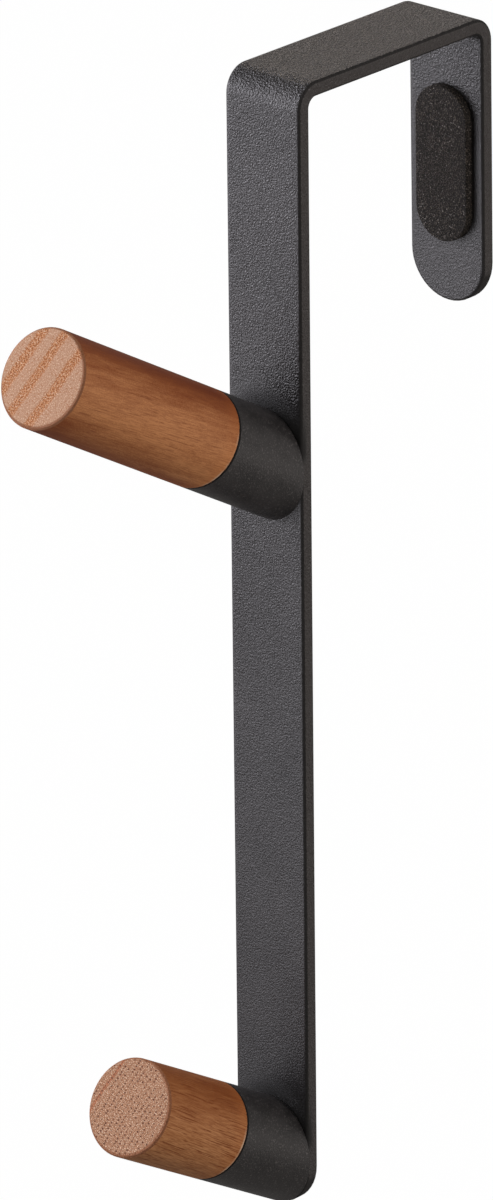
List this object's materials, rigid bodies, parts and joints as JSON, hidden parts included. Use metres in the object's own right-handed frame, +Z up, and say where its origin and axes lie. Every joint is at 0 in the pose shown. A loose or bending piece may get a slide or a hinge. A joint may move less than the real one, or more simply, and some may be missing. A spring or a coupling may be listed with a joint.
{
  "type": "over door hook",
  "caption": "Folded steel strap that hooks over the top edge of a door, with tilted wooden pegs in dark sleeves for coats and bags, and foam pads against the door.",
  "frame": {"origin": "middle of the bridge's underside, where the hook sits on the top edge of the door", "axes": "+X across the strap, +Y from the room side into the door, +Z up; the pegs stand out towards -Y and +Z"},
  "size_m": [0.019, 0.1194, 0.227],
  "materials": {
    "strap_coat": "fine textured powder coat, matt charcoal",
    "sleeve_coat": "smooth satin black coat",
    "stained_wood": "mid-brown stained hardwood, satin, fine straight grain",
    "screw_steel": "zinc plated",
    "pad_foam": "open-textured black foam"
  },
  "bodies": {
    "root": {"strap": "strap_coat", "upper_sleeve": "sleeve_coat", "lower_sleeve": "sleeve_coat", "upper_peg": "stained_wood", "lower_peg": "stained_wood", "upper_screw": "screw_steel", "lower_screw": "screw_steel", "back_pad": "pad_foam", "front_pad": "pad_foam"}
  },
  "joints": []
}
